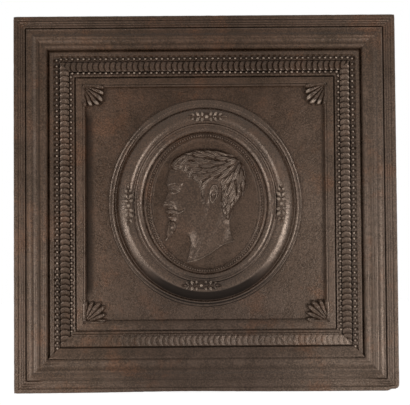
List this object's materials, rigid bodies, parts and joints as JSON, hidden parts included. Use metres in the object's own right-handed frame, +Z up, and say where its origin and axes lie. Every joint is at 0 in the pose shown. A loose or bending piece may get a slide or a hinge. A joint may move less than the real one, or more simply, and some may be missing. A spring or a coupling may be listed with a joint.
{
  "type": "cast-iron fireback",
  "caption": "Square ornamental cast-iron fireback: moulded frame with pearl and leaf bands, round an oval medallion with a head in relief.",
  "frame": {"origin": "on the floor, under the middle of the width and of the depth", "axes": "+X across the plate, +Y from the ornamented face to the back, +Z up"},
  "size_m": [0.6, 0.03, 0.59],
  "materials": {
    "plate_iron": "rough sand-cast, dark brown",
    "moulding_iron": "sand-cast, dark brown, rubbed lighter on the ridges",
    "ornament_iron": "sand-cast, dark brown, crests rubbed bright",
    "rivet_iron": "dark, hammered"
  },
  "bodies": {
    "root": {"back_plate": "plate_iron", "outer_rail_top": "moulding_iron", "leaf_band_top": "ornament_iron", "slip_top": "moulding_iron", "band_rivet_top": "rivet_iron", "rail_rivet_top_first": "rivet_iron", "rail_rivet_top_second": "rivet_iron", "outer_rail_right": "moulding_iron", "leaf_band_right": "ornament_iron", "slip_right": "moulding_iron", "band_rivet_right": "rivet_iron", "rail_rivet_right_first": "rivet_iron", "rail_rivet_right_second": "rivet_iron", "outer_rail_bottom": "moulding_iron", "leaf_band_bottom": "ornament_iron", "slip_bottom": "moulding_iron", "band_rivet_bottom": "rivet_iron", "rail_rivet_bottom_first": "rivet_iron", "rail_rivet_bottom_second": "rivet_iron", "outer_rail_left": "moulding_iron", "leaf_band_left": "ornament_iron", "slip_left": "moulding_iron", "band_rivet_left": "rivet_iron", "rail_rivet_left_first": "rivet_iron", "rail_rivet_left_second": "rivet_iron", "oval_moulding_upper_right": "moulding_iron", "oval_rivet_upper_right": "rivet_iron", "corner_leaf_upper_right": "ornament_iron", "oval_moulding_upper_left": "moulding_iron", "oval_rivet_upper_left": "rivet_iron", "corner_leaf_upper_left": "ornament_iron", "oval_moulding_lower_left": "moulding_iron", "oval_rivet_lower_left": "rivet_iron", "corner_leaf_lower_left": "ornament_iron", "oval_moulding_lower_right": "moulding_iron", "oval_rivet_lower_right": "rivet_iron", "corner_leaf_lower_right": "ornament_iron", "medallion": "plate_iron", "medallion_rivet_left": "rivet_iron", "medallion_rivet_right": "rivet_iron", "beaded_ring": "ornament_iron", "portrait_head": "ornament_iron", "spray_top": "ornament_iron", "spray_right": "ornament_iron", "spray_bottom": "ornament_iron", "spray_left": "ornament_iron"}
  },
  "joints": []
}
